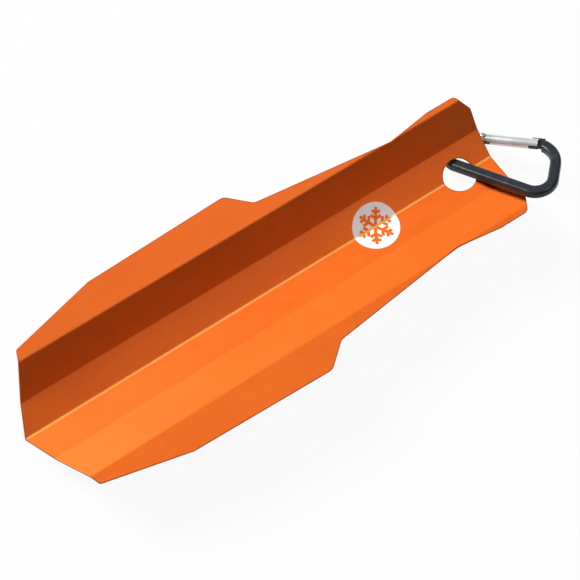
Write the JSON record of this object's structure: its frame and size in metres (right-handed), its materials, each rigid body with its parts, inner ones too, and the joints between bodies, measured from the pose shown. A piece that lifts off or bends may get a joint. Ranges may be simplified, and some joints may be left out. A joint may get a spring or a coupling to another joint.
{
  "type": "snow trowel with carabiner",
  "caption": "Folded sheet-metal scoop for digging snow, with a wide blade that narrows to a channelled handle and a spring-gate carabiner hung in the handle's hole.",
  "frame": {"origin": "middle of the underside of the whole object's box, with the carabiner lying as in the picture", "axes": "+X along the crease from the tip to the handle, +Y across the blade, +Z out of the scoop's hollow side"},
  "size_m": [0.3058, 0.0996, 0.0368],
  "materials": {
    "blade_sheet": "satin orange anodised sheet",
    "carabiner_rod": "satin black anodised",
    "gate_bar": "bare turned metal",
    "steel_fittings": "bare steel"
  },
  "bodies": {
    "blade": {"blade": "blade_sheet"},
    "carabiner": {"carabiner_body": "carabiner_rod", "gate_rivet": "steel_fittings"},
    "gate": {"gate": "gate_bar", "gate_spring": "steel_fittings"},
    "plunger": {"gate_plunger": "steel_fittings"}
  },
  "joints": [
    {"name": "carabiner_swing", "type": "hinge", "parent": "blade", "child": "carabiner", "pos_m": [0.10921, 0.0036, 0.01077], "axis": [-0.4053, 0.7623, -0.5045], "range_deg": [-8, 130]},
    {"name": "gate_pivot", "type": "hinge", "parent": "carabiner", "child": "gate", "pos_m": [0.12984, 0.01011, 0.00806], "axis": [0.0561, -0.5301, -0.8461], "range_deg": [0, 30], "stiffness_Nm_per_rad": 0.02, "springref_deg": -17.19, "deforming": ["gate_spring"]},
    {"name": "plunger_slide", "type": "slide", "parent": "gate", "child": "plunger", "axis": [0.6385, -0.6325, 0.4386], "range_m": [0, 0.0006]}
  ],
  "couplings": [
    {"joint": "plunger_slide", "follows": "gate_pivot", "m_per_rad": 0.001}
  ]
}
